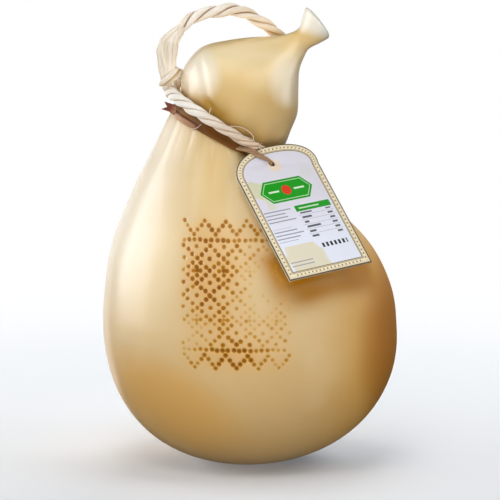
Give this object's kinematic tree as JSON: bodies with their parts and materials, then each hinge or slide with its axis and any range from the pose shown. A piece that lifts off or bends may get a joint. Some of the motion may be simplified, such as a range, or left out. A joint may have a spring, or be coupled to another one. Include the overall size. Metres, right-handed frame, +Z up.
{
  "type": "caciocavallo cheese",
  "caption": "Pear-shaped hung cheese with a roped neck, a small head with a flared stem, a fibre rope loop to hang it by, a brown tie and an arched paper tag; stands on a small flat foot.",
  "frame": {"origin": "centre of the small flat foot that the cheese stands on", "axes": "+Z up from the foot, -Y the front with the tag, +X the side that the head and its stem lean to"},
  "size_m": [0.148, 0.154, 0.2286],
  "materials": {
    "cheese": "waxy satin rind",
    "rope": "twisted plant fibre",
    "tie": "brown raffia strip",
    "tag": "printed card",
    "tag_string": "light brown twine"
  },
  "bodies": {
    "root": {"cheese": "cheese", "rope_ring": "rope", "rope_bundle": "rope", "rope_turn": "rope", "rope_loop": "rope", "rope_hitch": "rope", "tie": "tie", "tie_tail": "tie", "tag": "tag", "tag_string": "tag_string"}
  },
  "joints": []
}
